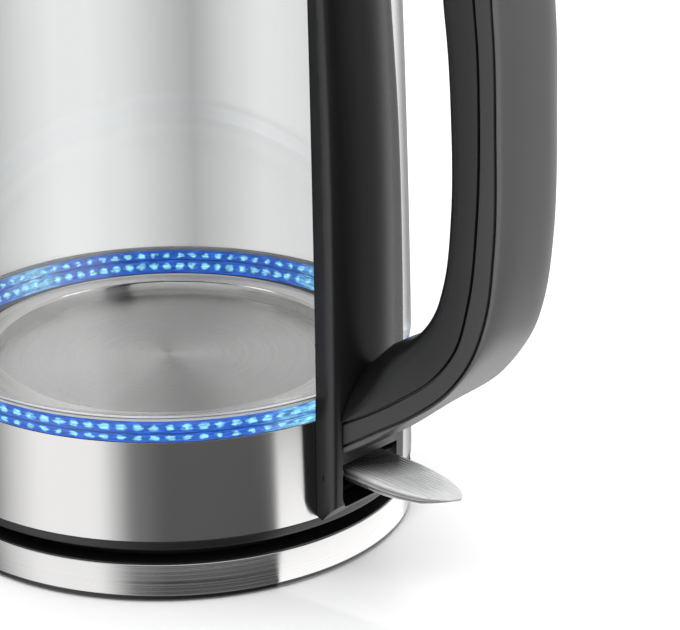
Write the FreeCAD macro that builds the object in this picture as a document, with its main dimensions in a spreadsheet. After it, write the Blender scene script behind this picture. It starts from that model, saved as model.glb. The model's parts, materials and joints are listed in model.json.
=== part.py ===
import FreeCAD, Part
import math
import os
import re
import Sketcher

# Electric kettle on a round power base. Millimetres, +Z up, the origin at the centre of the foot ring.
# The handle stands along +X, the spout along -X, and the cord gland faces +Y.

V = FreeCAD.Vector
doc = FreeCAD.newDocument("kettle")
sheet = doc.addObject("Spreadsheet::Sheet", "sizes")

SIZES = {
    "base_radius": 80, "base_top": 12.6, "foot_inner": 60, "foot_outer": 72, "turret_radius": 17.3,
    "turret_top": 25, "slot_inner": 10.9, "slot_outer": 12.9, "gland_level": 6.6, "seat_top": 16,
    "cover_foot": 17.1, "skirt_foot": 20.3, "skirt_top": 52.4, "skirt_wall": 0.8, "recess_radius": 18.3,
    "ring_radius": 78.5, "ring_top": 59.3, "plate_level": 50, "plate_radius": 56, "flange_level": 54.8,
    "flange_radius": 64, "element_radius": 42, "element_tube": 3.3,
    "glass_foot": 60.15, "glass_top": 212, "glass_foot_radius": 79, "glass_top_radius": 73,
    "glass_wall": 3, "glass_bow": 5000, "collar_foot": 198, "collar_top": 226, "collar_inner": 68.5,
    "spine_face": 86.5, "spine_top": 213.9, "spine_half": 18.6, "handle_width": 26, "seam_width": 23, "handle_round": 4,
    "lever_width": 21, "pivot_across": 82.8, "pivot_level": 35.2, "pin_radius": 1.5, "running_gap": 0.06,
    "lid_radius": 67.6, "lid_top": 234, "plug_radius": 61, "plug_foot": 203.5, "lid_chord": 64,
    "hinge_across": 70, "hinge_level": 231.5, "knuckle_radius": 3.4, "button_radius": 9.1,
    "button_top": 241.5, "bolt_reach": 67.6, "filter_width": 36, "filter_foot": 176, "filter_top": 203,
}
for row, (word, value) in enumerate(SIZES.items(), 1):
    sheet.set("A%d" % row, word)
    sheet.set("B%d" % row, str(value))
    sheet.setAlias("B%d" % row, word)
doc.recompute()

WORD = re.compile(r"[a-z]+_[a-z_]+")
ARITHMETIC = re.compile(r"\s*([-+*/]?)\s*([a-z_]+|[0-9.]+)")
nodes = []


def value(text):
    """The number that a sum of sheet names and numbers stands for."""
    if isinstance(text, (int, float)):
        return float(text)
    total, term = 0.0, None
    for sign, word in ARITHMETIC.findall(str(text)):
        number = float(sheet.get(word)) if WORD.fullmatch(word) else float(word)
        if sign == "*":
            term *= number
        elif sign == "/":
            term /= number
        else:
            total += term or 0.0
            term = -number if sign == "-" else number
    return total + (term or 0.0)


def bind(thing, path, text):
    """Ties one size to the sheet when its text names a cell."""
    if WORD.search(str(text)):
        thing.setExpression(path, WORD.sub(lambda word: "sizes." + word.group(0), str(text)))


def body(label):
    made = doc.addObject("PartDesign::Body", label)
    made.Label = label
    return made


def sketch(owner, plane, name, offset="0"):
    drawn = owner.newObject("Sketcher::SketchObject", name)
    drawn.AttachmentSupport = [(next(o for o in owner.Origin.OriginFeatures if o.Role == plane), "")]
    drawn.MapMode = "FlatFace"
    drawn.AttachmentOffset = FreeCAD.Placement(V(0, 0, value(offset)), FreeCAD.Rotation())
    bind(drawn, "AttachmentOffset.Base.z", offset)
    return drawn


def outline(drawn, points):
    """A closed outline, anticlockwise. A third entry bends the run to the next point: a radius
    (negative for a hollow) or a list of points for a free curve."""
    at = [V(value(p[0]), value(p[1]), 0) for p in points]
    ends = []
    for i, p in enumerate(points):
        a, b = at[i], at[(i + 1) % len(points)]
        if len(p) < 3:
            drawn.addGeometry(Part.LineSegment(a, b), False)
            ends.append((1, 2))
        elif isinstance(p[2], list):
            curve = Part.BSplineCurve()
            curve.interpolate([a] + [V(q[0], q[1], 0) for q in p[2]] + [b])
            drawn.addGeometry(curve, False)
            ends.append((1, 2))
        else:
            radius = value(p[2])
            half = (b - a) * 0.5
            left = V(-half.y, half.x, 0).normalize()
            centre = a + half + left * math.copysign(math.sqrt(radius ** 2 - half.Length ** 2), radius)
            angle_a, angle_b = (math.atan2(q.y - centre.y, q.x - centre.x) for q in (a, b))
            if radius < 0:
                angle_a, angle_b = angle_b, angle_a
            if angle_b < angle_a:
                angle_b += 2 * math.pi
            circle = Part.Circle(centre, V(0, 0, 1), abs(radius))
            drawn.addGeometry(Part.ArcOfCircle(circle, angle_a, angle_b), False)
            ends.append((1, 2) if radius > 0 else (2, 1))
    for i in range(len(points)):
        j = (i + 1) % len(points)
        drawn.addConstraint(Sketcher.Constraint("Coincident", i, ends[i][1], j, ends[j][0]))
    for i, p in enumerate(points):
        for kind, text, where, axis in (("DistanceX", p[0], at[i].x, -2), ("DistanceY", p[1], at[i].y, -1)):
            if abs(where) < 1e-9:
                drawn.addConstraint(Sketcher.Constraint("PointOnObject", i, ends[i][0], axis))
            else:
                rule = drawn.addConstraint(Sketcher.Constraint(kind, -1, 1, i, ends[i][0], where))
                bind(drawn, "Constraints[%d]" % rule, text)
        if len(p) > 2 and not isinstance(p[2], list):
            rule = drawn.addConstraint(Sketcher.Constraint("Radius", i, abs(value(p[2]))))
            bind(drawn, "Constraints[%d]" % rule, str(p[2]).lstrip("-"))


def turn(owner, points, name, kind="Revolution"):
    drawn = sketch(owner, "XZ_Plane", owner.Label + name + "_outline")
    outline(drawn, points)
    made = owner.newObject("PartDesign::" + kind, owner.Label + name)
    made.Profile = (drawn, [""])
    made.ReferenceAxis = (drawn, ["V_Axis"])
    made.Angle = 360
    doc.recompute()
    return made


def pad(owner, plane, points, length, name, offset="0", kind="Pad", both=True):
    drawn = sketch(owner, plane, owner.Label + name + "_outline", offset)
    outline(drawn, points)
    made = owner.newObject("PartDesign::" + kind, owner.Label + name)
    made.Profile = (drawn, [""])
    made.Length = value(length)
    bind(made, "Length", length)
    made.SideType = "Symmetric" if both else "One side"
    doc.recompute()
    return made


def soften(owner, radius, test, name="_round"):
    doc.recompute()
    tip = owner.Tip
    edges = ["Edge%d" % i for i, e in enumerate(tip.Shape.Edges, 1) if test(e)]
    made = owner.newObject("PartDesign::Fillet", owner.Label + name)
    made.Base = (tip, edges)
    made.Radius = value(radius)
    bind(made, "Radius", radius)
    doc.recompute()
    return made


def turned(label, points):
    """One piece turned about the kettle's axis from its (radius, level) outline."""
    made = body(label)
    turn(made, points, "_turn")
    nodes.append(made)
    return made


def primitive(kind, label, sizes, at, axis=None):
    made = doc.addObject("Part::" + kind, label)
    made.Label = label
    for name, text in sizes.items():
        setattr(made, name, value(text))
        bind(made, name, text)
    spin = FreeCAD.Rotation(V(0, 0, 1), axis) if axis else FreeCAD.Rotation()
    made.Placement = FreeCAD.Placement(V(*[value(c) for c in at]), spin)
    for path, text in zip(("x", "y", "z"), at):
        bind(made, "Placement.Base." + path, text)
    return made


def rod(label, radius, length, at, axis=None):
    return primitive("Cylinder", label, {"Radius": radius, "Height": length}, at, axis)


def block(label, length, width, height, at):
    return primitive("Box", label, {"Length": length, "Width": width, "Height": height}, at)


def join(label, *parts):
    made = doc.addObject("Part::MultiFuse", label)
    made.Label = label
    made.Shapes = list(parts)
    made.Refine = True
    return made


def cut(label, base, *tools):
    """The base with the tools taken away. The base gives up its label to the result."""
    if base in nodes:
        nodes.remove(base)
    if base.Label == label:
        base.Label = label + "_blank"
    for i, tool in enumerate(tools):
        made = doc.addObject("Part::Cut", "%s_less_%d" % (label, i))
        made.Base, made.Tool = base, tool
        base = made
    base.Label = label
    return base


def keep(part):
    nodes.append(part)
    return part


def spokes(radius, first, count):
    """Points spread evenly on a circle about the kettle's axis."""
    turns = [math.radians(first + 360.0 * i / count) for i in range(count)]
    return [(radius * math.cos(a), radius * math.sin(a)) for a in turns]


ACROSS, ALONG = V(0, 1, 0), V(1, 0, 0)
RISER = V(-5.34, 0, 150)  # the steam tube leans with the glass

# ---------------------------------------------------------------- power base
turned("base_foot_ring", [("foot_inner", 0), ("foot_outer", 0), ("foot_outer", 1.5), ("foot_inner", 1.5)])

plate = turned("base_plate", [
    (0, 0.6), ("foot_inner - 0.1", 0.6), ("foot_inner - 0.1", 1.6), ("foot_outer + 0.1", 1.6),
    ("foot_outer + 0.1", 0.6), ("base_radius - 0.8", 0.6), ("base_radius - 0.5", 0.9),
    ("base_radius - 0.5", 2.0), ("base_radius - 1.8", 2.0), ("base_radius - 1.8", 2.8), (0, 2.8)])
band = turned("base_band", [("base_radius - 0.7", 2.1), ("base_radius", 2.1),
                            ("base_radius - 0.7", "base_top - 0.2"), ("base_radius - 1.4", "base_top - 0.2")])
shell = turned("base_shell", [
    ("base_radius - 3.6", 2.9), ("base_radius - 1.6", 2.9), ("base_radius - 1.6", "base_top - 0.1"),
    ("base_radius - 0.8", "base_top - 0.1"), ("base_radius - 0.8", "base_top + 0.3"), (73.5, "base_top"),
    (72.2, 10.6), (68, 10.6), (67, "seat_top"), (63, "seat_top"), (62, 10.6),
    ("turret_radius + 0.2", 10.6), ("turret_radius + 0.2", 8.6), ("base_radius - 3.6", 8.6)])
places = spokes(50, 30, 3)
bosses = [rod("boss_%d" % i, 4, 5.8, (x, y, 2.9)) for i, (x, y) in enumerate(places)]
pilots = [rod("pilot_%d" % i, 1.5, 4.9, (x, y, 2.8)) for i, (x, y) in enumerate(places)]
shell_name = "base_shell"
nodes.remove(shell)
shell.Label = "base_shell_top"
whole = join("base_shell_bossed", shell, *bosses)
keep(cut(shell_name, whole, *pilots, rod("shell_inlet", 3.4, 16, (0, 66, "gland_level"), ACROSS)))
holes = [rod("plate_hole_%d" % i, 1.8, 4, (x, y, 0)) for i, (x, y) in enumerate(places)]
sinks = [rod("plate_sink_%d" % i, 3.6, 1.9, (x, y, 0)) for i, (x, y) in enumerate(places)]
keep(cut("base_plate", plate, *holes, *sinks))
keep(cut("base_band", band, rod("band_inlet", 3.4, 8, (0, 75, "gland_level"), ACROSS)))
for i, (x, y) in enumerate(places):
    keep(join("base_screw_%s" % "abc"[i], rod("base_head_%d" % i, 3.2, 1.1, (x, y, 0.75)),
              rod("base_shank_%d" % i, 1.4, 6, (x, y, 1.0))))
gland = join("gland_solid", rod("gland_tube", 3.3, 11, (0, 70, "gland_level"), ACROSS),
             rod("gland_flange", 4.4, 2, (0, 80.1, "gland_level"), ACROSS))
keep(cut("cord_gland", gland, rod("gland_bore", 2.6, 16, (0, 68, "gland_level"), ACROSS)))
turned("base_turret", [
    (0, 6.4), ("turret_radius + 2.7", 6.4), ("turret_radius + 2.7", 8.5), ("turret_radius", 8.5),
    ("turret_radius", "turret_top - 1"), ("turret_radius - 1", "turret_top"), ("slot_outer", "turret_top"),
    ("slot_outer", 12), ("slot_inner", 12), ("slot_inner", "turret_top"), (2.7, "turret_top"), (2.7, 12), (0, 12)])
turned("base_contact_sleeve", [(2.25, 12.05), (2.6, 12.05), (2.6, 20), (2.25, 20)])
turned("base_contact_ring", [("slot_outer - 0.4", 12.05), ("slot_outer - 0.05", 12.05),
                             ("slot_outer - 0.05", 20), ("slot_outer - 0.4", 20)])
keep(block("base_terminal_block", 24, 18, 5, (-12, 45, 3.1)))
for side, x in (("live", -5), ("neutral", 5)):
    keep(rod("base_lead_" + side, 1.2, 27.5, (x, 17.4, 4.9), ACROSS))

# ---------------------------------------------------------------- underside and heater of the jug
turned("bottom_cover", [
    ("recess_radius", "cover_foot"), (62.3, "cover_foot"), (63, "seat_top + 0.35"), (67, "seat_top + 0.35"),
    (67.7, "cover_foot"), (78.9, "cover_foot"), (79.4, 17.6), (79.4, "skirt_foot - 0.1"),
    (77.5, "skirt_foot - 0.1"), (77.5, 22.5), (75.5, 22.5), (75.5, "cover_foot + 2"),
    ("recess_radius + 2", "cover_foot + 2"), ("recess_radius + 2", 27), ("recess_radius", 27)])
skirt = turned("steel_skirt", [("ring_radius + 0.2", "skirt_foot"), ("ring_radius + 1", "skirt_foot"),
                               ("ring_radius + 0.2", "skirt_top"), ("ring_radius - 0.6", "skirt_top")])
keep(cut("steel_skirt", skirt, block("skirt_window", 20, 27, 18.5, (70, -13.5, 22.5))))
turned("light_ring", [(70.9, "skirt_top + 0.1"), ("ring_radius", "skirt_top + 0.1"),
                      ("ring_radius", "ring_top"), (75, "ring_top")])
turned("glass_seal", [(75.3, "ring_top + 0.05"), (78.6, "ring_top + 0.05"), (78.6, 60.1), (75.3, 60.1)])
board = turned("led_board", [(68.5, 46), (77.2, 46), (77.2, 47.6), (68.5, 47.6)])
lamp = pad(board, "XY_Plane", [(72, -1.4), (74.8, -1.4), (74.8, 1.4), (72, 1.4)], 1.3, "_lamp", "47.6", both=False)
ringed = board.newObject("PartDesign::PolarPattern", "led_board_lamps")
ringed.Originals = [lamp]
ringed.Axis = (next(o for o in board.Origin.OriginFeatures if o.Role == "Z_Axis"), [""])
ringed.Angle = 360
ringed.Occurrences = 24
board.Tip = ringed
turned("heating_plate", [
    (0, "plate_level - 1"), ("plate_radius + 1", "plate_level - 1"), ("plate_radius + 1", "flange_level - 1"),
    ("flange_radius", "flange_level - 1"), ("flange_radius", "flange_level"), ("plate_radius + 1.2", "flange_level"),
    ("plate_radius", "flange_level - 1.2"), ("plate_radius", "plate_level + 1"),
    ("plate_radius - 1", "plate_level"), (0, "plate_level")])
turned("plate_seal", [(58, 51.2), (70.8, 51.2), (70.8, 52.4), (68.6, 52.4), (67.8, 51.9), (65.8, 51.9),
                      (64.8, "flange_level - 1.05"), (58, "flange_level - 1.05")])
turned("clamp_ring", [(59, 49.2), (70.4, 49.2), (70.4, 51.1), (59, 51.1)])
turned("heat_spreader", [(0, 46), (54, 46), (54, "plate_level - 1.05"), (0, "plate_level - 1.05")])
coil = doc.addObject("Part::Torus", "element_loop")
coil.Radius1, coil.Radius2, coil.Angle3 = SIZES["element_radius"], SIZES["element_tube"], 300
bind(coil, "Radius1", "element_radius")
bind(coil, "Radius2", "element_tube")
coil.Placement = FreeCAD.Placement(V(0, 0, 42.6), FreeCAD.Rotation(V(0, 0, 1), 210))
ends = [rod("element_end_%d" % i, 2.4, 12, (x, y, 30.6)) for i, (x, y) in enumerate(spokes(42, 150, 6)) if i < 2]
keep(join("heating_element", coil, *ends))
turned("control_body", [(0, 27.2), (22, 27.2), (22, 36), (15, 40), (0, 40)])
for side, x in (("front", -7), ("rear", 7)):
    keep(rod("boil_dry_disc_" + side, 5.5, 0.6, (x, 0, 40.05)))
turned("jug_pin", [(0, 15.5), (1.3, 15.5), (1.8, 16.2), (1.8, 27.1), (0, 27.1)])
turned("jug_blade_ring", [(11.4, 15.5), (12, 15.5), (12, 27.1), (11.4, 27.1)])

# ---------------------------------------------------------------- glass, collar and spout
glass = turned("glass_body", [
    ("glass_foot_radius - glass_wall", "glass_foot"), ("glass_foot_radius", "glass_foot", "glass_bow"),
    ("glass_top_radius", "glass_top"), ("glass_top_radius - glass_wall", "glass_top", "-glass_bow")])
soften(glass, 1.1, lambda e: e.Curve.TypeId == "Part::GeomCircle" and e.BoundBox.ZLength < 0.01)
collar = turned("top_collar", [
    (74.2, "collar_foot"), (75.2, "collar_foot"), (73.9, "collar_top - 1.5"), (72.4, "collar_top"),
    ("collar_inner + 1", "collar_top"), ("collar_inner", "collar_top - 1"), ("collar_inner", "glass_top + 1"),
    ("collar_inner + 1", "glass_top + 1"), ("collar_inner + 1", "collar_top - 1.4"), (72, "collar_top - 1.4"),
    (72.9, "collar_top - 2")])


def spout_section(name, level, back, half, tip, nose):
    drawn = sketch(collar, "XY_Plane", name, level)
    outline(drawn, [(back, -half), (back, half), (tip, nose, nose * 1.25), (tip, -nose)])
    return drawn


for kind, sections in (
        ("AdditiveLoft", [("spout_low", "collar_foot + 3", -70, 9, -75.3, 1.2),
                          ("spout_high", "collar_top", -70, 21.5, -89.5, 4.5)]),
        ("SubtractiveLoft", [("lip_low", "collar_foot + 6.5", -60, 9, -74.6, 0.9),
                             ("lip_high", "collar_top + 0.1", -60, 25, -87.5, 3.6)])):
    drawn = [spout_section(*s) for s in sections]
    doc.recompute()
    loft = collar.newObject("PartDesign::" + kind, "collar_" + kind.lower())
    loft.Profile = (drawn[0], [""])
    loft.Sections = [(drawn[1], [""])]
    doc.recompute()
turn(collar, [("collar_inner + 1.1", "collar_foot - 0.2"), (74.0, "collar_foot - 0.2"), (73.35, 214.6),
              ("collar_inner + 1.1", 214.6)], "_glass_room", "Groove")
turned("collar_gasket", [(69.8, 212.3), (73.1, 212.3), (73.1, 214.5), (69.8, 214.5)])

# ---------------------------------------------------------------- spine, handle and hinge cap
spine = body("handle_spine")
pad(spine, "XY_Plane", [(66, -11.5), ("spine_face + 0.3", "0 - spine_half"), ("spine_face + 0.3", "spine_half"), (66, 11.5)],
    "spine_top - 21", "_pad", "21", both=False)
turn(spine, [(0, 0), (79.65, 0), (79.65, "skirt_foot"), ("ring_radius + 0.35", "skirt_top"),
             ("ring_radius + 0.35", "ring_top"), ("glass_foot_radius + 0.15", "glass_foot", "glass_bow"),
             (73.95, 197.8), (75.35, 197.8), (74.3, 220), (0, 220)], "_fit", "Groove")
pad(spine, "XZ_Plane", [(100, 10), (100, 225), (79.6, 225), (79.6, 200, [(80.9, 180), (83.3, 147), (84.9, 110), (85.7, 75)]),
                        ("spine_face - 0.4", 42), ("spine_face - 0.4", 26), (81, 20.5), (81, 10)],
    60, "_face", kind="Pocket")
soften(spine, 2.2, lambda e: e.BoundBox.XMax > 80 and e.BoundBox.ZLength > 15 and abs(e.BoundBox.YMin) > 15
       and e.BoundBox.YLength < 2.5 and e.BoundBox.XMin > 79)
pad(spine, "YZ_Plane", [(-7, 23.5), (7, 23.5, 5.8), (12.8, 29.3), (12.8, 39.5), (-12.8, 39.5), (-12.8, 29.3, 5.8)],
    60, "_mouth", "70", "Pocket")
keep(cut("handle_spine", spine,
         rod("spine_pivot", "pin_radius + 0.02", 34, ("pivot_across", -17, "pivot_level"), ACROSS),
         rod("spine_channel", 1.8, 152, (82.05, 6.5, 44.6), RISER),
         rod("spine_screw_hole", 1.9, 20, (78, 0, 64), ALONG),
         rod("spine_screw_sink", 3.6, 3.5, (78, 0, 64), ALONG)))

INNER = [(98, 79.5), (111, 87), (118.8, 98), (121, 105), (123.5, 129), (122.8, 155), (120.2, 183), (117, 200), (109.5, 210), (98, 213.8)]
FRONT = [(94.5, 58.2), (108, 67), (121, 77.5), (128.5, 88), (132.8, 103), (135.3, 129), (135.3, 158), (133.5, 184),
         (130, 203), (121, 217.5), (107, 224.5)]
BACK = [(98, 53.5), (114, 64), (126, 74.5), (134, 86), (139, 100), (141.3, 120), (141, 155), (139.2, 185),
        (135.5, 208), (124.5, 224.5), (108, 230.5)]
OUTER = [(98, 50), (110, 60), (122, 69.5), (132.5, 80.5), (139.5, 91), (143.3, 104), (145.3, 120), (145.8, 141),
         (145.2, 160), (144, 185), (140, 209), (128, 228), (109, 235.2)]


def layer(label, low, high, inside, outside, width="handle_width"):
    """One layer of the D-shaped handle between two side curves, from the low root to the high one."""
    made = body(label)
    pad(made, "XZ_Plane", [("spine_face + 0.05", low[1], outside), ("spine_face + 0.05", high[1]),
                           ("spine_face + 0.05", high[0], list(reversed(inside))), ("spine_face + 0.05", low[0])],
        width, "_pad")
    return made


def moved(points, gap):
    """A side curve pushed outward from the grip's middle by a gap."""
    made = []
    for x, z in points:
        dx, dz = x - 100, (z - 145) * 0.75
        size = math.hypot(dx, dz)
        made.append((x + gap * dx / size, z + gap * dz / size))
    return made


inner = layer("handle_inner", (69.5, 54.1), (215, 225.55), INNER, moved(FRONT, -0.45))
soften(inner, "handle_round", lambda e: e.Curve.TypeId == "Part::GeomBSplineCurve" and e.BoundBox.XMax < 125
       and e.BoundBox.YLength < 0.1 and e.BoundBox.XMin < 90)
keep(cut("handle_inner", inner, rod("inner_pilot", 1.75, 13, (86, 0, 64), ALONG)))
band = layer("handle_band", (53.2, 46.35), (226.45, 231.55), moved(FRONT, 0.45), moved(BACK, -0.45))
nodes.append(band)
nodes.append(layer("handle_grip", (45.45, 42.3), (232.45, 236.5), moved(BACK, 0.45), OUTER))
for label, root, crown, curve in (("handle_seam_front", 53.65, 226, FRONT), ("handle_seam_back", 45.9, 232, BACK)):
    seam = layer(label, (root + 0.3, root - 0.3), (crown - 0.3, crown + 0.3),
                 moved(curve, -0.3), moved(curve, 0.3), "seam_width")
    nodes.append(seam)
keep(join("handle_screw_low", rod("low_shank", 1.7, 18, (80.5, 0, 64), ALONG), rod("low_head", 3.2, 1.3, (80, 0, 64), ALONG)))
keep(rod("steam_tube", 1.6, 150, (82, 6.5, 46), RISER))

cap = body("hinge_cap")
pad(cap, "XZ_Plane", [(76, "spine_top + 0.1"), ("spine_face", "spine_top + 0.1"), ("spine_face", 236.6),
                      (72, 236.6, 6.5), ("lid_chord + 0.6", 230.5), ("lid_chord + 0.6", "collar_top + 0.4"),
                      (76, "collar_top + 0.4")], 48, "_pad")
soften(cap, 5, lambda e: e.BoundBox.XLength < 0.1 and e.BoundBox.XMin > 86 and e.BoundBox.ZLength > 5
       and e.BoundBox.YLength < 0.1)
slot = block("cap_slot", 20, 17.6, 14, (54.4, -8.8, 225))
keep(cut("hinge_cap", cap, slot, rod("cap_pin_hole", "pin_radius + 0.02", 60, ("hinge_across", -30, "hinge_level"), ACROSS)))
keep(rod("hinge_pin", "pin_radius", 40, ("hinge_across", -20, "hinge_level"), ACROSS))

# ---------------------------------------------------------------- switch at the foot of the spine
keep(rod("lever_pin", "pin_radius", 32, ("pivot_across", -16, "pivot_level"), ACROSS))
lever = body("switch_lever")
pad(lever, "XZ_Plane", [(72, 34.2), (80, 33.4), ("pivot_across - 1", 32), (88, 32), (100, 31.6), (119.5, 32.2, 1.2),
                        (119.5, 34.4), (100, 36.4), (88, 37.4), ("pivot_across - 1", 37.8), (80, 37.2), (72, 36.2)],
    "lever_width", "_pad")
pad(lever, "XY_Plane", [(112, -30), (140, -30), (140, 30), (112, 30), (113.5, 8.6, -14), (113.5, -8.6)],
    60, "_nose", "10", "Pocket")
rounds = join("lever_sides", block("lever_side_low", 15, 26, 30, (64.2, -30, 20)),
              block("lever_side_high", 15, 26, 30, (64.2, 4, 20)))
keep(cut("switch_lever", keep(lever), rounds,
         rod("lever_bore", "pin_radius + running_gap", 40, ("pivot_across", -20, "pivot_level"), ACROSS)))
housing = block("housing_solid", 17, 25, 20, (58, -12.5, 23))
keep(cut("switch_housing", housing, block("housing_room", 20, 22, 17, (59.5, -11, 24.5)),
         rod("housing_pin_hole", 1.22, 40, (66, -20, 31), ACROSS)))
keep(rod("rocker_pin", 1.2, 24.8, (66, -12.4, 31), ACROSS))
rocker = body("switch_rocker")
pad(rocker, "XZ_Plane", [(61.2, 30), (66, 28), (72, 29.6), (72.4, 31.6), (66, 34), (61.2, 32)], 14, "_pad")
keep(cut("switch_rocker", rocker, rod("rocker_bore", "1.2 + running_gap", 40, (66, -20, 31), ACROSS)))
keep(rod("steam_disc", 7.5, 0.4, (59.6, 0, 33), ALONG))

# ---------------------------------------------------------------- lid
cover = turned("lid_cover", [
    ("lid_radius - 0.8", "collar_top + 0.4"), ("lid_radius", "collar_top + 0.4"), ("lid_radius", 228.6, 1.6),
    (66.2, 230.2, 530), (0, "lid_top"), (0, "lid_top - 0.8", -530), (66, 229.4, -0.9), ("lid_radius - 0.8", 228.6)])
keep(cut("lid_cover", cover, block("cover_chord", 10, 160, 20, ("lid_chord", -80, 220)),
         rod("cover_button_hole", "button_radius + 0.4", 20, (0, 0, 225))))
frame = turned("lid_frame", [
    (0, "plug_foot"), ("plug_radius", "plug_foot"), ("plug_radius", 221), ("lid_radius - 0.2", 221),
    ("lid_radius - 0.2", "collar_top + 0.3"), ("lid_radius - 2.2", "collar_top + 0.3"), ("lid_radius - 2.2", 223),
    ("plug_radius - 2", 223), ("plug_radius - 2", "plug_foot + 2"), (0, "plug_foot + 2")])
nodes.remove(frame)
frame.Label = "lid_frame_turned"
chord = cut("lid_frame_chorded", frame, block("frame_chord", 10, 160, 20, ("lid_chord", -80, 220.5)))
knuckle = join("knuckle_solid", rod("knuckle_barrel", "knuckle_radius", 16.4, ("hinge_across", -8.2, "hinge_level"), ACROSS),
               block("knuckle_web", 6, 16.4, 10, (60.5, -8.2, 221.2)), block("knuckle_arm", 5.9, 16.4, 3, (64.1, -8.2, 229)))
cleared = cut("knuckle_cleared", knuckle, block("knuckle_sheet_room", 4, 18, 12, (60.1, -9, 226.2)))
keep(cut("lid_frame", join("lid_frame_whole", chord, cleared),
         rod("frame_pin_bore", "pin_radius + running_gap", 40, ("hinge_across", -20, "hinge_level"), ACROSS),
         block("frame_bolt_ways", 7.4, 200, 4.4, (-3.7, -100, 208.6))))
turned("lid_seal", [("plug_radius + 0.05", 217.5), (66.9, 217.5), (66.9, 218.6), ("plug_radius + 0.05", 220.9)])
keep(join("lid_button", rod("button_cap", "button_radius", "button_top - 230", (0, 0, 230)), rod("button_stem", 5, 18, (0, 0, 213.5))))
helix = Part.makeHelix(1.4, 7.0, 3.4)
wire = Part.Wire(helix.Edges)
round_wire = Part.Wire([Part.makeCircle(0.4, V(3.4, 0, 0), V(0, 1, 0.07))])
spring = doc.addObject("Part::Feature", "button_spring")
spring.Label = "button_spring"
spring.Shape = wire.makePipeShell([round_wire], True, True)
spring.Placement = FreeCAD.Placement(V(0, 0, value("plug_foot + 2.5")), FreeCAD.Rotation())
nodes.append(spring)
for label, sign in (("lid_bolt_left", 1), ("lid_bolt_right", -1)):
    start = "9.5" if sign > 0 else "0 - bolt_reach"
    keep(block(label, 6, "bolt_reach - 9.5", 3.6, (-3, start, 209)))

# ---------------------------------------------------------------- spout filter
holder = block("holder_solid", 3.5, 43, 43, (-64.5, -21.5, 173))
keep(cut("filter_holder", holder, block("holder_room", 6, "filter_width + 1", 60, (-66, "0 - filter_width / 2 - 0.5", 175.6))))
frame_blank = block("filter_solid", 2, "filter_width", "filter_top - filter_foot", (-64, "0 - filter_width / 2", "filter_foot"))
keep(cut("filter_frame", frame_blank, block("filter_window", 6, 30, 21, (-66, -15, 179))))
keep(block("filter_mesh", 0.4, 29.9, 20.9, (-63.2, -14.95, 179.05)))

# ---------------------------------------------------------------- checks and export
doc.recompute()
for thing in doc.Objects:
    if {"Invalid", "Error"} & set(thing.State):
        raise RuntimeError("%s failed: %s" % (thing.Label, thing.State))
os.makedirs("parts", exist_ok=True)
for old in os.listdir("parts"):
    os.remove(os.path.join("parts", old))
for node in nodes:
    if node.Shape.isNull() or not node.Shape.isValid():
        raise RuntimeError("%s has no valid shape" % node.Label)
    node.Shape.exportStep("parts/%s.step" % node.Label)
    box = node.Shape.BoundBox
    print("%-22s %d solid %9.1f mm3  X %.1f..%.1f  Y %.1f..%.1f  Z %.1f..%.1f" % (
        node.Label, len(node.Shape.Solids), node.Shape.Volume, box.XMin, box.XMax, box.YMin, box.YMax,
        box.ZMin, box.ZMax))
print(len(nodes), "nodes")
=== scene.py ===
import json
import math
import bpy
import numpy as np
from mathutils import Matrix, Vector


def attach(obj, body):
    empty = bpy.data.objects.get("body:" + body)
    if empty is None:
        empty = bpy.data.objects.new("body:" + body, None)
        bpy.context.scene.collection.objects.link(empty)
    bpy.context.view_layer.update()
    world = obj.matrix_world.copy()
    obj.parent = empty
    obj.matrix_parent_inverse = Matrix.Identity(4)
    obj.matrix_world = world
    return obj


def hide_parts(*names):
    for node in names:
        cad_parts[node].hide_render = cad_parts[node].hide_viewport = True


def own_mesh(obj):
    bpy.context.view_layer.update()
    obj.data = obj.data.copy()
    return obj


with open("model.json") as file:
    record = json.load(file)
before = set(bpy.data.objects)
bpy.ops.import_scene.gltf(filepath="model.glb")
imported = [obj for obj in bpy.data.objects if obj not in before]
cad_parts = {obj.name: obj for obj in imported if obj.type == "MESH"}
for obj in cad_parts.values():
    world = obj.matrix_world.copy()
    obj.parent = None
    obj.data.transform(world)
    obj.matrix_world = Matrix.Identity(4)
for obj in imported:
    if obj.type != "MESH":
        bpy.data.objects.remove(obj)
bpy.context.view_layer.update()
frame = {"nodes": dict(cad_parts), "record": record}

MM = 0.001
FRAME_WIDTH = 680
FOCAL = 2500
SHIFT = 6
SENSOR = 36
# the camera stands at this angle clockwise from +X, and the studio is laid out round it
CAMERA_SIDE = 49

# ------------------------------------------------------------------ camera
ALPHA = math.radians(41)
TILT = math.radians(20.9)
OFF, BACKWARD, HIGH = 53.9, 759.0, 353.0
eye = Vector((OFF * math.cos(ALPHA) + BACKWARD * math.sin(ALPHA),
              OFF * math.sin(ALPHA) - BACKWARD * math.cos(ALPHA), HIGH)) * MM
look = Vector((-math.sin(ALPHA) * math.cos(TILT), math.cos(ALPHA) * math.cos(TILT), -math.sin(TILT)))
lens = bpy.data.cameras.new("camera")
camera = bpy.data.objects.new("camera", lens)
bpy.context.collection.objects.link(camera)
camera.location = eye
camera.rotation_euler = look.to_track_quat("-Z", "Y").to_euler()
lens.sensor_width = SENSOR
lens.lens = FOCAL * SENSOR / FRAME_WIDTH
lens.shift_x = SHIFT / FRAME_WIDTH
lens.clip_start = 0.01
bpy.context.scene.camera = camera
bpy.context.scene.view_settings.view_transform = "Standard"


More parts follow.
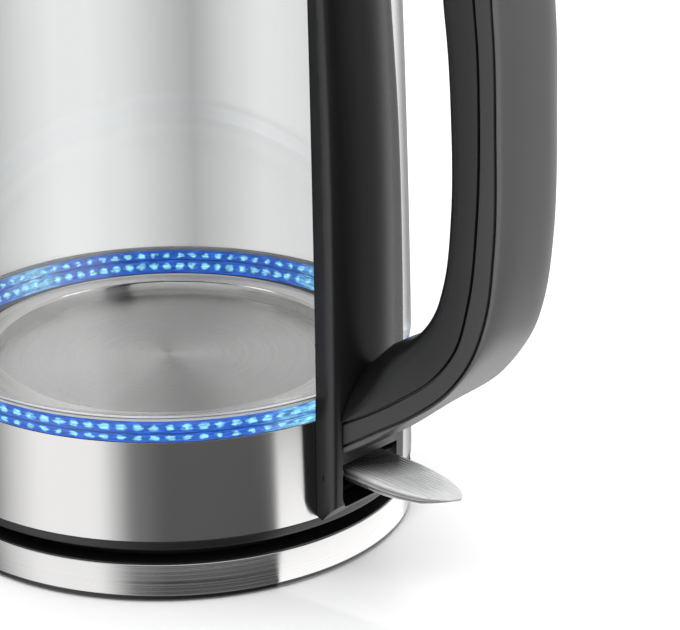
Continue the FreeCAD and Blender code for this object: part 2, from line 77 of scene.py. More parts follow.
# ------------------------------------------------------------------ materials
def material(name, color=(0.5, 0.5, 0.5), rough=0.4, metal=0.0, **more):
    made = bpy.data.materials.new(name)
    made.use_nodes = True
    shader = made.node_tree.nodes["Principled BSDF"]
    shader.inputs["Base Color"].default_value = (*color, 1)
    shader.inputs["Roughness"].default_value = rough
    shader.inputs["Metallic"].default_value = metal
    for key, value in more.items():
        shader.inputs[key.replace("_", " ")].default_value = value
    return made


def add(made, kind, **values):
    node = made.node_tree.nodes.new("ShaderNode" + kind)
    for key, value in values.items():
        if hasattr(node, key):
            setattr(node, key, value)
        else:
            node.inputs[key.replace("_", " ")].default_value = value
    return node


def link(made, a, b):
    made.node_tree.links.new(a, b)


def fill(band, stops):
    """Sets a colour band's stops, given in rising order."""
    band.elements.remove(band.elements[1])
    for k, (place, shade) in enumerate(stops):
        element = band.elements[0] if k == 0 else band.elements.new(place)
        element.position = place
        element.color = (*shade, 1) if isinstance(shade, tuple) else (shade, shade, shade, 1)


def ramp(made, source, stops, interpolation="LINEAR"):
    node = made.node_tree.nodes.new("ShaderNodeValToRGB")
    node.color_ramp.interpolation = interpolation
    fill(node.color_ramp, stops)
    link(made, source, node.inputs[0])
    return node.outputs[0]


def maths(made, operation, a, b=0.0, c=0.0):
    node = add(made, "Math", operation=operation)
    for i, x in enumerate((a, b, c)):
        if isinstance(x, (int, float)):
            node.inputs[i].default_value = x
        else:
            link(made, x, node.inputs[i])
    return node.outputs[0]


def mapped(made, scale, kind="UV"):
    """Coordinates for a texture, stretched by scale."""
    where = add(made, "TexCoord")
    mapping = add(made, "Mapping")
    mapping.inputs["Scale"].default_value = scale
    link(made, where.outputs[kind], mapping.inputs[0])
    return mapping.outputs[0]


def surface(made, vector, low, high, bump, noise_scale=1.0, detail=4.0, distance=0.0002):
    """Roughness between low and high, and a fine bump, from one noise."""
    shader = made.node_tree.nodes["Principled BSDF"]
    noise = add(made, "TexNoise", Scale=noise_scale, Detail=detail, Roughness=0.6)
    link(made, vector, noise.inputs["Vector"])
    link(made, ramp(made, noise.outputs["Fac"], [(0.3, low), (0.7, high)]), shader.inputs["Roughness"])
    raised = add(made, "Bump", Strength=bump, Distance=distance)
    link(made, noise.outputs["Fac"], raised.inputs["Height"])
    link(made, raised.outputs[0], shader.inputs["Normal"])
    return noise.outputs["Fac"]


def brushed(name, color, low, high, stretch, grain=0.2, direction=0.85):
    made = material(name, color, 0.3, 1.0, Anisotropic=direction, Anisotropic_Rotation=0.25)
    fac = surface(made, mapped(made, stretch), low, high, grain, 1.0, 3.0, 0.00005)
    shader = made.node_tree.nodes["Principled BSDF"]
    darker = tuple(c * 0.86 for c in color)
    lighter = tuple(min(c * 1.1, 1) for c in color)
    shade = ramp(made, fac, [(0.25, darker), (0.75, lighter)])
    link(made, shade, shader.inputs["Base Color"])
    tangent = add(made, "Tangent", direction_type="RADIAL", axis="Z")
    link(made, tangent.outputs[0], shader.inputs["Tangent"])
    return made


steel = brushed("steel", (0.62, 0.615, 0.61), 0.16, 0.30, (8, 2600, 1), 0.15, 0.95)
plate_steel = brushed("plate_steel", (0.60, 0.595, 0.585), 0.26, 0.38, (6, 1500, 1), 0.06)


rim_steel = brushed("rim_steel", (0.62, 0.61, 0.60), 0.10, 0.2, (6, 900, 1), 0.1)
satin_black = material("satin_black", (0.008, 0.008, 0.0085), 0.4)
surface(satin_black, mapped(satin_black, (1, 1, 1), "Object"), 0.34, 0.46, 0.15, 2200, 3, 0.00006)
inner_black = material("inner_black", (0.008, 0.008, 0.0085), 0.36)
surface(inner_black, mapped(inner_black, (1, 1, 1), "Object"), 0.3, 0.42, 0.1, 2600, 3, 0.00005)
soft_black = material("soft_black", (0.03, 0.03, 0.031), 0.5, Coat_Weight=0.15, Coat_Roughness=0.4)
surface(soft_black, mapped(soft_black, (1, 1, 1), "Object"), 0.42, 0.56, 0.25, 3000, 3, 0.00006)
grip_grey = material("grip_grey", (0.088, 0.088, 0.09), 0.42)
surface(grip_grey, mapped(grip_grey, (1, 1, 1), "Object"), 0.36, 0.5, 0.2, 3000, 3, 0.00006)
grip_facing = add(grip_grey, "SeparateXYZ")
link(grip_grey, add(grip_grey, "NewGeometry").outputs["Normal"], grip_facing.inputs[0])
# painted shade: the base colour is near black on the faces that look down and a little darker on those that
# look up
GRIP_PAINTED_SHADE = [(0.0, (0.008, 0.008, 0.008)), (0.07, (0.008, 0.008, 0.008)), (0.13, (0.03, 0.03, 0.031)),
               (0.21, (0.085, 0.085, 0.087)), (0.5, (0.088, 0.088, 0.09)), (1.0, (0.07, 0.07, 0.072))]
facing = maths(grip_grey, "MULTIPLY_ADD", grip_facing.outputs[2], 0.5, 0.5)
link(grip_grey, ramp(grip_grey, facing, GRIP_PAINTED_SHADE),
     grip_grey.node_tree.nodes["Principled BSDF"].inputs["Base Color"])
spine_black = material("spine_black", (0.008, 0.008, 0.0085), 0.36)
surface(spine_black, mapped(spine_black, (1, 1, 1), "Object"), 0.3, 0.42, 0.12, 2400, 3, 0.00005)
seam_black = material("seam_black", (0.004, 0.004, 0.004), 0.7)
surface(seam_black, mapped(seam_black, (1, 1, 1), "Object"), 0.6, 0.8, 0.1, 2000)
rubber = material("rubber", (0.02, 0.02, 0.02), 0.8)
surface(rubber, mapped(rubber, (1, 1, 1), "Object"), 0.7, 0.9, 0.3, 900)
silicone = material("silicone", (0.7, 0.72, 0.74), 0.35, Transmission_Weight=0.4)
surface(silicone, mapped(silicone, (1, 1, 1), "Object"), 0.3, 0.45, 0.1, 900)
dark_silicone = material("dark_silicone", (0.03, 0.03, 0.032), 0.45)
surface(dark_silicone, mapped(dark_silicone, (1, 1, 1), "Object"), 0.4, 0.55, 0.1, 900)
brass = material("brass", (0.8, 0.62, 0.3), 0.3, 1.0)
surface(brass, mapped(brass, (1, 1, 1), "Object"), 0.22, 0.4, 0.1, 700)
alu = material("alu", (0.8, 0.8, 0.81), 0.4, 1.0)
surface(alu, mapped(alu, (1, 1, 1), "Object"), 0.32, 0.5, 0.1, 500)
board = material("board", (0.75, 0.78, 0.75), 0.5)
surface(board, mapped(board, (1, 1, 1), "Object"), 0.4, 0.6, 0.1, 500)
bright = material("bright", (0.75, 0.75, 0.76), 0.2, 1.0)
surface(bright, mapped(bright, (1, 1, 1), "Object"), 0.14, 0.28, 0.1, 900)
glass = material("glass", (0.985, 0.99, 0.99), 0.0, Transmission_Weight=1.0, IOR=1.47)
dense = add(glass, "VolumeAbsorption", Density=15.0)
dense.inputs["Color"].default_value = (0.03, 0.08, 0.08, 1)
link(glass, dense.outputs[0], glass.node_tree.nodes["Material Output"].inputs["Volume"])
lever_clear = material("lever_clear", (0.97, 0.975, 0.98), 0.1, Transmission_Weight=0.12, IOR=1.5,
                       Coat_Weight=1.0)
lever_where = add(lever_clear, "SeparateXYZ")
link(lever_clear, mapped(lever_clear, (1, 1, 1), "Object"), lever_where.inputs[0])
grain = add(lever_clear, "TexNoise", Scale=1.0, Detail=2.0, Roughness=0.6)
link(lever_clear, mapped(lever_clear, (90, 1500, 1500), "Object"), grain.inputs["Vector"])
# painted shade: the lever's base colour is darkened near its root, darkest where it leaves the spine under
# the handle's arm
lever_painted_shade = add(lever_clear, "Mix", data_type="RGBA", blend_type="MULTIPLY")
lever_painted_shade.inputs["Factor"].default_value = 1.0
length = maths(lever_clear, "MULTIPLY_ADD", lever_where.outputs[1], -0.55, lever_where.outputs[0])
shade_under_arm = ramp(lever_clear, length, [(0.078, 0.3), (0.084, 0.05), (0.09, 0.08), (0.0965, 0.5),
                                        (0.1, 1.0), (0.12, 1.0)])
link(lever_clear, shade_under_arm, lever_painted_shade.inputs[6])
# painted light and shade: the lever's base colour also follows which way each face looks, dark facing down
# and lightest facing up
level = add(lever_clear, "NewGeometry")
upward = add(lever_clear, "SeparateXYZ")
link(lever_clear, level.outputs["Normal"], upward.inputs[0])
facing_shade = ramp(lever_clear, upward.outputs[2], [(-0.2, 0.12), (0.1, 0.7), (0.35, 0.2), (0.8, 1.0)])
grained = ramp(lever_clear, grain.outputs["Fac"], [(0.36, 0.84), (0.54, 1.0)])
link(lever_clear, maths(lever_clear, "MULTIPLY", facing_shade, grained), lever_painted_shade.inputs[7])
link(lever_clear, lever_painted_shade.outputs[2], lever_clear.node_tree.nodes["Principled BSDF"].inputs["Base Color"])

# lit ring: cyan-white lamps in two rows on saturated blue. U counts lamps round the ring, V crosses it.
ring_light = material("ring_light", (0.004, 0.02, 0.07), 0.3)
where = add(ring_light, "TexCoord")
split = add(ring_light, "SeparateXYZ")
link(ring_light, where.outputs["UV"], split.inputs[0])


def lamp_row(made, u, v, centre, across, along):
    du = maths(made, "DIVIDE", maths(made, "SUBTRACT", maths(made, "FRACT", u), 0.5), along)
    dv = maths(made, "DIVIDE", maths(made, "SUBTRACT", v, centre), across)
    squares = maths(made, "ADD", maths(made, "MULTIPLY", du, du), maths(made, "MULTIPLY", dv, dv))
    far = maths(made, "SQRT", squares)
    return ramp(made, far, [(0.0, 1.0), (0.5, 0.8), (1.0, 0.16), (1.5, 0.0)], "EASE")


ragged = add(ring_light, "TexNoise", Scale=1.0, Detail=2.0)
link(ring_light, mapped(ring_light, (2.3, 5, 1)), ragged.inputs["Vector"])
wander = maths(ring_light, "MULTIPLY", maths(ring_light, "SUBTRACT", ragged.outputs["Fac"], 0.5), 0.9)
u_lamp, v_lamp = maths(ring_light, "ADD", split.outputs[0], wander), split.outputs[1]
big = lamp_row(ring_light, u_lamp, v_lamp, 0.70, 0.17, 0.36)
small = lamp_row(ring_light, u_lamp, v_lamp, 0.22, 0.13, 0.3)
hot = ramp(ring_light, maths(ring_light, "MULTIPLY", split.outputs[0], 0.01), [
    (0.0, 0.5), (0.03, 0.0), (0.2, 0.0), (0.24, 0.8), (0.28, 0.0), (0.45, 0.0), (0.485, 0.7), (0.52, 0.0),
    (0.7, 0.0), (0.735, 0.7), (0.77, 0.0), (0.925, 0.0), (0.965, 0.85), (1.0, 0.5)], "EASE")
wash = add(ring_light, "TexNoise", Scale=1.0, Detail=3.0, Roughness=0.7)
link(ring_light, mapped(ring_light, (0.8, 5, 1)), wash.inputs["Vector"])
washed = maths(ring_light, "MULTIPLY", hot, ramp(ring_light, wash.outputs["Fac"], [(0.38, 0.15), (0.6, 1.0)]))
dots = maths(ring_light, "MAXIMUM", maths(ring_light, "MAXIMUM", big, small), washed)
line = maths(ring_light, "ABSOLUTE", maths(ring_light, "SUBTRACT", v_lamp, 0.42))
dark = ramp(ring_light, line, [(0.0, 0.25), (0.05, 1.0)])
mix = add(ring_light, "Mix", data_type="RGBA")
link(ring_light, dots, mix.inputs["Factor"])
mix.inputs[6].default_value = (0.022, 0.105, 0.50, 1)
mix.inputs[7].default_value = (0.34, 0.86, 1.0, 1)
streaks = add(ring_light, "TexNoise", Scale=1.0, Detail=3.0, Roughness=0.65)
link(ring_light, mapped(ring_light, (0.9, 12, 1)), streaks.inputs["Vector"])
streaky = ramp(ring_light, streaks.outputs["Fac"], [(0.3, 0.4), (0.52, 0.95), (0.72, 1.7)])
glow = add(ring_light, "VectorMath", operation="MULTIPLY")
link(ring_light, mix.outputs[2], glow.inputs[0])
link(ring_light, maths(ring_light, "MULTIPLY", dark, streaky), glow.inputs[1])
shader = ring_light.node_tree.nodes["Principled BSDF"]
link(ring_light, glow.outputs[0], shader.inputs["Emission Color"])
shader.inputs["Emission Strength"].default_value = 1.15

# the spine's face is slightly crowned from side to side
across = add(spine_black, "SeparateXYZ")
link(spine_black, mapped(spine_black, (1, 1, 1), "Object"), across.inputs[0])
crown_bump = add(spine_black, "Bump", Strength=1.0, Distance=1.0)
off_centre = maths(spine_black, "ABSOLUTE", across.outputs[1])
sunk = maths(spine_black, "MULTIPLY", maths(spine_black, "POWER", off_centre, 3.0), -760.0)
link(spine_black, sunk, crown_bump.inputs["Height"])
spine_shader = spine_black.node_tree.nodes["Principled BSDF"]
fine_bump = spine_shader.inputs["Normal"].links[0].from_node
link(spine_black, crown_bump.outputs[0], fine_bump.inputs["Normal"])

SLOT = {"satin_black": satin_black, "soft_black": soft_black, "inner_black": inner_black, "steel": steel,
        "plate_steel": plate_steel, "clear_glass": glass, "blue_light": ring_light,
        "smoke_clear": lever_clear,
        "foot_rubber": rubber, "silicone": silicone, "dark_silicone": dark_silicone, "brass": brass,
        "alu": alu, "board": board, "bright": bright, "mesh": bright}
for entry in frame["record"]["subparts"]:
    part = frame["nodes"][entry["node"]]
    part.data.materials.clear()
    part.data.materials.append(SLOT[entry["material_slot"]])
frame["nodes"]["handle_spine"].data.materials[0] = spine_black


# ------------------------------------------------------------------ meshes
def piece(name, verts, faces, made, body, uvs=None, replaced=(), sharp=35):
    data = bpy.data.meshes.new(name)
    data.from_pydata([Vector(v) * MM for v in verts], [], faces)
    if uvs:
        layer = data.uv_layers.new(name="UVMap")
        layer.data.foreach_set("uv", [c for face in uvs for uv in face for c in uv])
    data.validate()
    for polygon in data.polygons:
        polygon.use_smooth = True
    data.set_sharp_from_angle(angle=math.radians(sharp))
    data.materials.append(made)
    obj = bpy.data.objects.new(name, data)
    bpy.context.collection.objects.link(obj)
    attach(obj, body)
    if replaced:
        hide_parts(*replaced)
    return obj


def eased(points, steps=5):
    """Rounds the corners of an outline: a third number in a point is that corner's radius."""
    out = []
    for i, p in enumerate(points):
        if len(p) < 3 or p[2] <= 0:
            out.append((p[0], p[1]))
            continue
        here = np.array(p[:2], float)
        a, b = (np.array(points[(i + k) % len(points)][:2], float) - here for k in (-1, 1))
        la, lb = np.linalg.norm(a), np.linalg.norm(b)
        a, b = a / la, b / lb
        half = math.acos(max(-1, min(1, float(a @ b)))) / 2
        run = min(p[2] / math.tan(half), la * 0.49, lb * 0.49)
        radius = run * math.tan(half)
        middle = here + (a + b) / np.linalg.norm(a + b) * radius / math.sin(half)
        start, end = here + a * run - middle, here + b * run - middle
        for k in range(steps + 1):
            t = k / steps
            v = start * (1 - t) + end * t
            out.append(tuple(middle + v / np.linalg.norm(v) * radius))
    return out


U_ROUND = 0.5


def lathe(name, points, made, body, replaced=(), segments=192, closed=True, steps=5, sharp=35):
    """A turned piece from its (radius, level) outline. U runs 0 to U_ROUND round it, V along it in metres."""
    line = eased(points, steps)
    n = len(line)
    verts, faces, uvs = [], [], []
    for r, z in line:
        for k in range(segments):
            a = 2 * math.pi * k / segments
            verts.append((r * math.cos(a), r * math.sin(a), z))
    run = [0.0]
    for i in range(n):
        a, b = line[i], line[(i + 1) % n]
        run.append(run[-1] + math.hypot(b[0] - a[0], b[1] - a[1]))
    for i in range(n if closed else n - 1):
        j = (i + 1) % n
        for k in range(segments):
            m = (k + 1) % segments
            faces.append((i * segments + k, i * segments + m, j * segments + m, j * segments + k))
            u0, u1 = U_ROUND * k / segments, U_ROUND * (k + 1) / segments
            v0, v1 = run[i] * MM, run[i + 1] * MM
            uvs.append(((u0, v0), (u1, v0), (u1, v1), (u0, v1)))
    return piece(name, verts, faces, made, body, uvs, replaced, sharp)


def curve_points(points, count):
    """Evenly spaced points on a smooth curve through the given ones."""
    p = np.array(points, float)
    t = np.concatenate([[0], np.cumsum(np.linalg.norm(np.diff(p, axis=0), axis=1))])
    slope = np.gradient(p, t, axis=0)
    fine = np.linspace(0, t[-1], 400)
    k = np.clip(np.searchsorted(t, fine, side="right") - 1, 0, len(t) - 2)
    h = (t[k + 1] - t[k])
    s = ((fine - t[k]) / h)[:, None]
    h = h[:, None]
    out = ((2 * s**3 - 3 * s**2 + 1) * p[k] + (s**3 - 2 * s**2 + s) * h * slope[k]
           + (-2 * s**3 + 3 * s**2) * p[k + 1] + (s**3 - s**2) * h * slope[k + 1])
    along = np.concatenate([[0], np.cumsum(np.linalg.norm(np.diff(out, axis=0), axis=1))])
    even = np.linspace(0, along[-1], count)
    return np.stack([np.interp(even, along, out[:, 0]), np.interp(even, along, out[:, 1])], 1)


# base
BAND = [(78.7, 2.15, 0.2), (80.0, 2.15, 0.35), (79.3, 12.35, 0.35), (78.7, 12.35, 0.2)]
lathe("base_band_skin", BAND, steel, "power_base", ["base_band"])
COVER = [(18.3, 17.1), (62.3, 17.1), (63, 16.35), (67, 16.35), (67.7, 17.1), (79.4, 17.1, 0.8),
         (79.4, 20.2, 0.3), (77.5, 20.2), (77.5, 22.5), (75.5, 22.5), (75.5, 19.1),
         (20.3, 19.1), (20.3, 27), (18.3, 27)]
lathe("bottom_cover_skin", COVER, satin_black, "jug", ["bottom_cover"])


def ring_band(name, line, body, replaced=()):
    """A lit strip of the ring. V runs 0 to 1 across it and U counts the lamps."""
    segments, lamps = 400, 100
    verts, faces, uvs = [], [], []
    run = [0.0]
    for a, b in zip(line, line[1:]):
        run.append(run[-1] + math.hypot(b[0] - a[0], b[1] - a[1]))
    for r, z in line:
        for k in range(segments):
            a = 2 * math.pi * k / segments
            verts.append((r * math.cos(a), r * math.sin(a), z))
    for i in range(len(line) - 1):
        v0, v1 = run[i] / run[-1], run[i + 1] / run[-1]
        for k in range(segments):
            m = (k + 1) % segments
            low, high = i * segments, (i + 1) * segments
            faces.append((low + k, low + m, high + m, high + k))
            u0, u1 = lamps * k / segments, lamps * (k + 1) / segments
            uvs.append(((u0, v0), (u1, v0), (u1, v1), (u0, v1)))
    return piece(name, verts, faces, ring_light, body, uvs, replaced, 60)


RING_OUTSIDE = [(78.3, 52.5), (78.5, 52.7), (78.5, 59.1), (78.3, 59.3)]
RING_INSIDE = [(75.0, 59.3), (74.4, 58.6), (71.2, 52.8), (70.9, 52.5)]
lit = (ring_band("light_ring_outside", RING_OUTSIDE, "jug", ["light_ring"]),
       ring_band("light_ring_inside", RING_INSIDE, "jug"))
for obj in lit:
    obj.visible_glossy = False
lathe("light_ring_rims", [(78.3, 59.3), (75.0, 59.3)], silicone, "jug", (), closed=False)
lathe("light_ring_sole", [(70.9, 52.5), (78.3, 52.5)], dark_silicone, "jug", (), closed=False)
lathe("heating_plate_skin", [(0.01, 50), (55.5, 50)], plate_steel, "jug", ["heating_plate"],
      closed=False)
PLATE_RIM = [(55.5, 50), (55.5, 50.05), (56.3, 54.8, 1.0), (64, 54.8, 0.4), (64, 53.8, 0.3), (57, 53.8),
             (57, 49), (0.01, 49)]
lathe("heating_plate_rim", PLATE_RIM, rim_steel, "jug", (), closed=False)

# glass
GLASS_FOOT, GLASS_TALL, GLASS_THICK, GLASS_ROWS = 60.15, 151.85, 3, 24


def wall(z):
    """The glass's outer radius at a height: a taper with a slight belly."""
    t = (z - GLASS_FOOT) / GLASS_TALL
    return 79 - 6 * t + 4 * 0.58 * t * (1 - t)


levels = [GLASS_FOOT + GLASS_TALL * i / GLASS_ROWS for i in range(GLASS_ROWS + 1)]
outside = [(wall(z), z) for z in levels]
inside = [(wall(z) - GLASS_THICK, z) for z in reversed(levels)]
outside[0], outside[-1] = (*outside[0], 1.2), (*outside[-1], 1.3)
inside[0], inside[-1] = (*inside[0], 1.3), (*inside[-1], 1.2)
lathe("glass_skin", outside + inside, glass, "jug", ["glass_body"], segments=256)

# handle: each layer lies between two side curves and is rounded across its width
INNER = [(86.5, 69.5), (98, 79.5), (111, 87), (118.8, 98), (121, 105), (123.5, 129), (122.8, 155),
         (120.2, 183), (117, 200), (109.5, 210), (98, 213.8), (86.5, 215)]
FRONT = [(86.5, 53.6), (94.5, 58.2), (108, 67), (121, 77.5), (128.5, 88), (132.8, 103), (135.3, 129),
         (135.3, 158), (133.5, 184), (130, 203), (121, 217.5), (107, 224.5), (86.5, 226)]
BACK = [(86.5, 46), (98, 53.5), (114, 64), (126, 74.5), (134, 86), (139, 100), (141.3, 120), (141, 155),
        (139.2, 185), (135.5, 208), (124.5, 224.5), (108, 230.5), (86.5, 232)]
OUTER = [(86.5, 42.3), (98, 50), (110, 60), (122, 69.5), (132.5, 80.5), (139.5, 91), (143.3, 104),
         (145.3, 120), (145.8, 141), (145.2, 160), (144, 185), (140, 209),
         (128, 228), (109, 235.2), (86.5, 236.5)]
SLICES = 160
GRAIN_STEP = 0.0016
HALF_WIDTH = 13.0
curves = {"inner": curve_points(INNER, SLICES), "front": curve_points(FRONT, SLICES),
          "back": curve_points(BACK, SLICES), "outer": curve_points(OUTER, SLICES)}


def strip(name, low, high, shift_low, shift_high, section, made, replaced):
    """A bent bar between two side curves. section lists (across -1..1, depth 0..1) round the bar."""
    a, b = curves[low], curves[high]
    gap = b - a
    size = np.linalg.norm(gap, axis=1)[:, None]
    gap = gap / size
    a, b = a + gap * shift_low, b - gap * shift_high
    verts, faces, uvs = [], [], []
    n = len(section(1.0, 0, 0))
    for i in range(SLICES):
        depth = float(np.linalg.norm(b[i] - a[i]))
        for y, d in section(depth, a[i][0], a[i][1]):
            p = a[i] + gap[i] * d
            verts.append((p[0], y, p[1]))
    for i in range(SLICES - 1):
        for k in range(n):
            m = (k + 1) % n
            faces.append((i * n + k, i * n + m, (i + 1) * n + m, (i + 1) * n + k))
            u0, u1, v0, v1 = k / n, (k + 1) / n, i * GRAIN_STEP, (i + 1) * GRAIN_STEP
            uvs.append(((u0, v0), (u1, v0), (u1, v1), (u0, v1)))
    for start in (0, (SLICES - 1) * n):
        faces.append(tuple(range(start, start + n)))
        uvs.append(tuple((0.0, 0.0) for _ in range(n)))
    return piece(name, verts, faces, made, "jug", uvs, replaced, 50)


def bar(round_low, round_high, half=HALF_WIDTH, steps=10, root=None):
    """A rounded section: round_low is the radius at the low side's corners, round_high at the high side's.
    Near the lower root the low corners grow to the root's width and depth."""
    def section(depth, x, z):
        wide, deep = min(round_low, depth * 0.46), min(round_low, depth * 0.46)
        power, out_to = 1.0, half
        if root and z < 120:
            t = min(max((root[2] - x) / (root[2] - 86.5), 0), 1)
            t = t * t * (3 - 2 * t)
            wide, deep = wide + (root[0] - wide) * t, deep + (root[1] - deep) * t
            power, out_to = 1.0 + 0.45 * t, half + 0.8 * t
        hi = min(round_high, depth * 0.9)
        out = []
        for sx, sy, w, d in ((-1, 0, wide, deep), (1, 0, wide, deep), (1, 1, hi, hi), (-1, 1, hi, hi)):
            cx, cy = sx * (out_to - w), (depth - d if sy else d)
            first = {(-1, 0): 180, (1, 0): 270, (1, 1): 0, (-1, 1): 90}[(sx, sy)]
            for k in range(steps + 1):
                a = math.radians(first + 90 * k / steps)
                c, r, e = math.cos(a), math.sin(a), (1.0 if sy else power)
                out.append((cx + w * math.copysign(abs(c) ** e, c), cy + d * math.copysign(abs(r) ** e, r)))
        return out
    return section


def crown(half=HALF_WIDTH, steps=24):
    """The outer grip: a short flat at each side running into a rounded back."""
    def section(depth, x, z):
        out = [(-half, 0.3), (-half + 0.3, 0.0), (half - 0.3, 0.0), (half, 0.3)]
        for k in range(steps + 1):
            a = math.pi * k / steps
            c, r = math.cos(a), math.sin(a)
            out.append((half * math.copysign(abs(c) ** 0.62, c), 0.6 + (depth - 0.6) * r ** 0.8))
        return out
    return section


strip("handle_inner_skin", "inner", "front", 0, 0.35, bar(5.5, 0.4, root=(13.7, 15.2, 113)), inner_black,
      ["handle_inner"])
strip("handle_band_skin", "front", "back", 0.35, 0.35, bar(0.4, 0.4), soft_black, ["handle_band"])
strip("handle_grip_skin", "back", "outer", 0.35, 0.0, crown(), grip_grey, ["handle_grip"])


# lever
def lever_skin():
    """A ribbed tongue with a rounded nose."""
    nx, ny = 56, 96
    verts, faces, uvs = [], [], []
    for side in (1, -1):
        for i in range(nx + 1):
            t = i / nx
            x = 79.5 + (121.6 - 79.5) * (1 - (1 - t) ** 1.5)
            nose = min(max((x - 96) / 25.7, 0.0), 0.9995)
            half = 10.4 * (1 - nose ** 2.1) ** 0.62
            top = np.interp(x, [79.5, 88, 100, 120.5], [37.6, 37.3, 36.5, 34.9])
            low = np.interp(x, [79.5, 88, 100, 112, 120.5], [32.4, 32.0, 31.8, 32.2, 34.2])
            for j in range(ny + 1):
                s = -1 + 2 * j / ny
                y = s * half
                soft = (1 - abs(s) ** 9) ** 0.5
                middle = (top + low) / 2
                z = middle + side * (top - low) / 2 * soft
                if side > 0 and abs(s) < 0.86 and 84 < x < 117:
                    z += 0.10 * math.cos(y * 2 * math.pi / 1.3) * min(1, (117 - x) / 6)
                verts.append((x, y, z))
    stride = (nx + 1) * (ny + 1)
    for side in range(2):
        for i in range(nx):
            for j in range(ny):
                a = side * stride + i * (ny + 1) + j
                quad = (a, a + ny + 1, a + ny + 2, a + 1)
                faces.append(quad if side == 0 else quad[::-1])

    def seam(points):
        for p, q in zip(points, points[1:]):
            faces.append((p, q, q + stride, p + stride))

    seam([j for j in range(ny, -1, -1)])
    seam([nx * (ny + 1) + j for j in range(ny + 1)])
    seam([i * (ny + 1) for i in range(nx + 1)])
    seam([i * (ny + 1) + ny for i in range(nx, -1, -1)])
    return piece("switch_lever_skin", verts, faces, lever_clear, "lever", None, (), 50)


lever_obj = lever_skin()
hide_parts("switch_lever")

# the spring under the lid button gets a mesh of its own
spring = frame["nodes"]["button_spring"]
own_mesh(spring)

# ------------------------------------------------------------------ floor and light
def stage_plane(name, corners, made, **seen):
    data = bpy.data.meshes.new(name)
    data.from_pydata(corners, [], [(0, 1, 2, 3)])
    uv = data.uv_layers.new(name="UVMap")
    uv.data.foreach_set("uv", [0, 0, 1, 0, 1, 1, 0, 1])
    data.materials.append(made)
    obj = bpy.data.objects.new(name, data)
    bpy.context.collection.objects.link(obj)
    for key, value in seen.items():
        setattr(obj, "visible_" + key, value)
    return obj


pale = material("pale_floor", (0.93, 0.93, 0.93), 0.7)
surface(pale, mapped(pale, (1, 1, 1), "Object"), 0.65, 0.75, 0.02, 40)
FLOOR = 6
stage_plane("floor", [(-FLOOR, -FLOOR, 0), (FLOOR, -FLOOR, 0), (FLOOR, FLOOR, 0), (-FLOOR, FLOOR, 0)], pale,
            glossy=False, transmission=False)

world = bpy.data.worlds.new("studio")
bpy.context.scene.world = world
world.use_nodes = True
sky = world.node_tree.nodes["Background"]
coords = world.node_tree.nodes.new("ShaderNodeTexCoord")
turn = world.node_tree.nodes.new("ShaderNodeMapping")
turn.inputs["Rotation"].default_value = (0, 0, math.radians(CAMERA_SIDE))
gradient = world.node_tree.nodes.new("ShaderNodeTexGradient")
gradient.gradient_type = "RADIAL"
world.node_tree.links.new(coords.outputs["Generated"], turn.inputs[0])
world.node_tree.links.new(turn.outputs[0], gradient.inputs[0])
bands = world.node_tree.nodes.new("ShaderNodeValToRGB")


def place(degrees):
    return 0.5 + degrees / 360


# a broad bright panel on one side, a narrow strong one on the other, dark between them
fill(bands.color_ramp, [
    (0.0, 0.4), (place(-125), 0.8), (place(-110), 0.15), (place(-90), 0.15), (place(-75), 1.0),
    (place(-60), 1.5), (place(-30), 1.5), (place(-15), 0.2), (place(0), 0.03), (place(100), 0.03),
    (place(115), 0.6), (place(125), 2.0), (place(140), 1.5), (place(160), 0.4), (1.0, 0.4)])
world.node_tree.links.new(gradient.outputs["Fac"], bands.inputs[0])
height = world.node_tree.nodes.new("ShaderNodeSeparateXYZ")
world.node_tree.links.new(coords.outputs["Generated"], height.inputs[0])
steep = world.node_tree.nodes.new("ShaderNodeMapRange")
for k, x in enumerate((-0.85, -0.6, 1.0, 0.0)):
    steep.inputs[k + 1].default_value = x
world.node_tree.links.new(height.outputs[2], steep.inputs[0])
blend_down = world.node_tree.nodes.new("ShaderNodeMix")
blend_down.data_type = "RGBA"
world.node_tree.links.new(steep.outputs[0], blend_down.inputs[0])
world.node_tree.links.new(bands.outputs[0], blend_down.inputs[6])
blend_down.inputs[7].default_value = (0.4, 0.4, 0.4, 1)
above = world.node_tree.nodes.new("ShaderNodeMapRange")
for k, x in enumerate((-0.12, 0.1, 0.0, 1.0)):
    above.inputs[k + 1].default_value = x
world.node_tree.links.new(height.outputs[2], above.inputs[0])
blend_up = world.node_tree.nodes.new("ShaderNodeMix")
blend_up.data_type = "RGBA"
world.node_tree.links.new(above.outputs[0], blend_up.inputs[0])
world.node_tree.links.new(blend_down.outputs[2], blend_up.inputs[6])
blend_up.inputs[7].default_value = (0.85, 0.85, 0.86, 1)
world.node_tree.links.new(blend_up.outputs[2], sky.inputs[0])
sky.inputs[1].default_value = 1.0


def soft_box(name, where_at, aim, size, power, spread=180):
    lamp = bpy.data.lights.new(name, "AREA")
    lamp.shape = "RECTANGLE"
    lamp.size, lamp.size_y = size
    lamp.energy = power
    lamp.spread = math.radians(spread)
    obj = bpy.data.objects.new(name, lamp)
    bpy.context.collection.objects.link(obj)
    obj.location = where_at
    obj.rotation_euler = (Vector(aim) - Vector(where_at)).to_track_quat("-Z", "Y").to_euler()
    return obj


soft_box("overhead", (0.0, 0.0, 1.6), (0, 0, 0), (2.2, 2.2), 30).visible_glossy = False


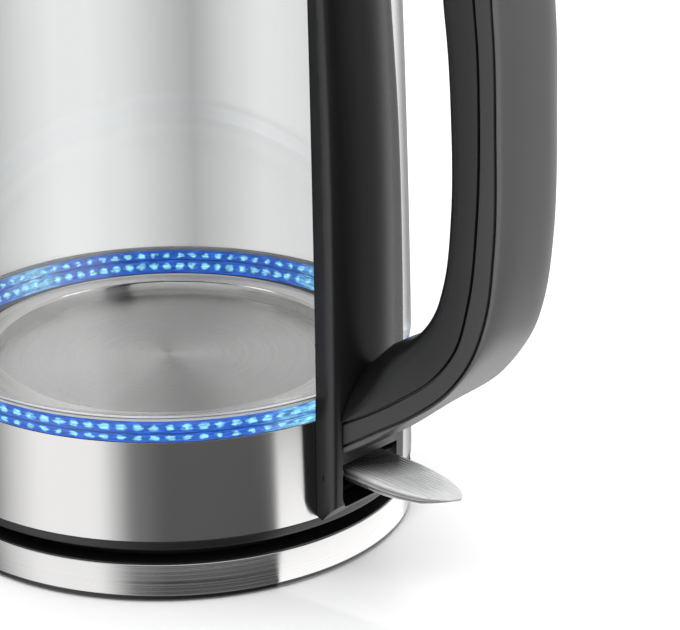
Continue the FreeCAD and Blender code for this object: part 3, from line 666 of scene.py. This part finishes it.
def glowing(name, power):
    made = bpy.data.materials.new(name)
    made.use_nodes = True
    made.node_tree.nodes.clear()
    glow_node = made.node_tree.nodes.new("ShaderNodeEmission")
    glow_node.inputs[1].default_value = power
    out = made.node_tree.nodes.new("ShaderNodeOutputMaterial")
    made.node_tree.links.new(glow_node.outputs[0], out.inputs[0])
    return made, glow_node


def seen_from_front(across, towards):
    """A floor place from its distances to the right of and in front of the kettle as the camera stands."""
    a = math.radians(-CAMERA_SIDE)
    return (towards * math.cos(a) - across * math.sin(a), towards * math.sin(a) + across * math.cos(a))


# a white card on the table beside the kettle, seen only in polished metal and glossy plastic
card_white, glow_node = glowing("card_white", 1.7)
glow_node.inputs[0].default_value = (1, 1, 1, 1)
corners = [(36, 70), (145, 150), (205, 60), (160, -100), (76, 24)]
data = bpy.data.meshes.new("table_card")
CARD_LEVEL = 0.6
flat = [Vector((*seen_from_front(*c), CARD_LEVEL)) * MM for c in corners]
data.from_pydata(flat, [], [tuple(range(len(corners)))])
data.materials.append(card_white)
table_card = bpy.data.objects.new("table_card", data)
bpy.context.collection.objects.link(table_card)

table_card.visible_camera = table_card.visible_diffuse = table_card.visible_shadow = False
table_card.visible_transmission = table_card.visible_volume_scatter = False

# a grey card standing behind, light at both sides and darker in the middle, seen only through the glass
card_grey, glow_node = glowing("card_grey", 1.0)
split = add(card_grey, "SeparateXYZ")
link(card_grey, mapped(card_grey, (1, 1, 1), "UV"), split.inputs[0])
shade = ramp(card_grey, split.outputs[0], [(0.0, 0.5), (0.2, 0.9), (0.35, 0.9), (0.5, 0.5), (0.65, 0.9),
                                           (0.8, 0.85), (1.0, 0.45)])
link(card_grey, shade, glow_node.inputs[0])
BEHIND, CARD_HALF, CARD_LOW, CARD_HIGH = 170, 94, -20, 400
upright = [(-CARD_HALF, CARD_LOW), (CARD_HALF, CARD_LOW), (CARD_HALF, CARD_HIGH), (-CARD_HALF, CARD_HIGH)]
standing = [Vector((*seen_from_front(side, -BEHIND), z)) * MM for side, z in upright]
stage_plane("back_card", standing, card_grey,
            camera=False, diffuse=False, shadow=False, volume_scatter=False, glossy=False)
